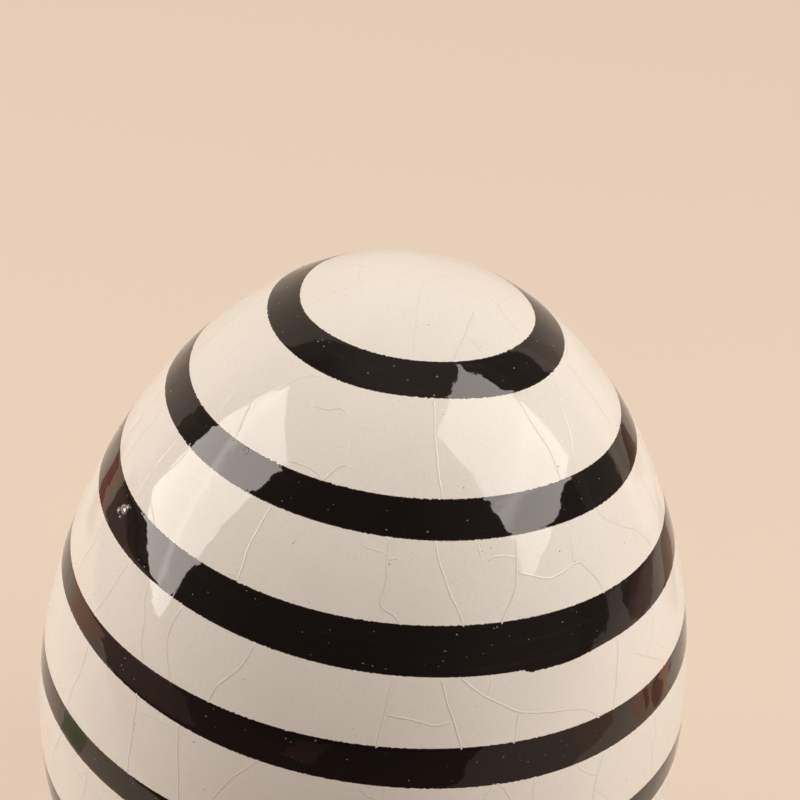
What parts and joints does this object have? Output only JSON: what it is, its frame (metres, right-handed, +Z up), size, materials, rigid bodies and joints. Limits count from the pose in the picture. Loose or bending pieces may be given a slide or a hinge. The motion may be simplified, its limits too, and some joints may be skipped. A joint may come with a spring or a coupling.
{
  "type": "ceramic easter egg",
  "caption": "Free-standing hollow ceramic egg, narrow end up, in cream crackle glaze with black painted bands, on a flat bare foot with a vent hole.",
  "frame": {"origin": "centre of the foot, on the plane that rests on the table", "axes": "+Z up along the egg's axis to its narrow tip, -Y towards the side seen in the picture, +X to the right there"},
  "size_m": [0.085, 0.085, 0.106],
  "materials": {
    "bare_clay": "matte",
    "cream_crackle_glaze": "gloss",
    "black_glaze": "gloss"
  },
  "bodies": {
    "root": {"cast_shell": "bare_clay", "crown_glaze": "cream_crackle_glaze", "black_band_1": "black_glaze", "black_band_2": "black_glaze", "black_band_3": "black_glaze", "black_band_4": "black_glaze", "black_band_5": "black_glaze", "black_band_6": "black_glaze", "black_band_7": "black_glaze", "black_band_8": "black_glaze", "cream_band_1": "cream_crackle_glaze", "cream_band_2": "cream_crackle_glaze", "cream_band_3": "cream_crackle_glaze", "cream_band_4": "cream_crackle_glaze", "cream_band_5": "cream_crackle_glaze", "cream_band_6": "cream_crackle_glaze", "cream_band_7": "cream_crackle_glaze", "base_glaze": "cream_crackle_glaze"}
  },
  "joints": []
}
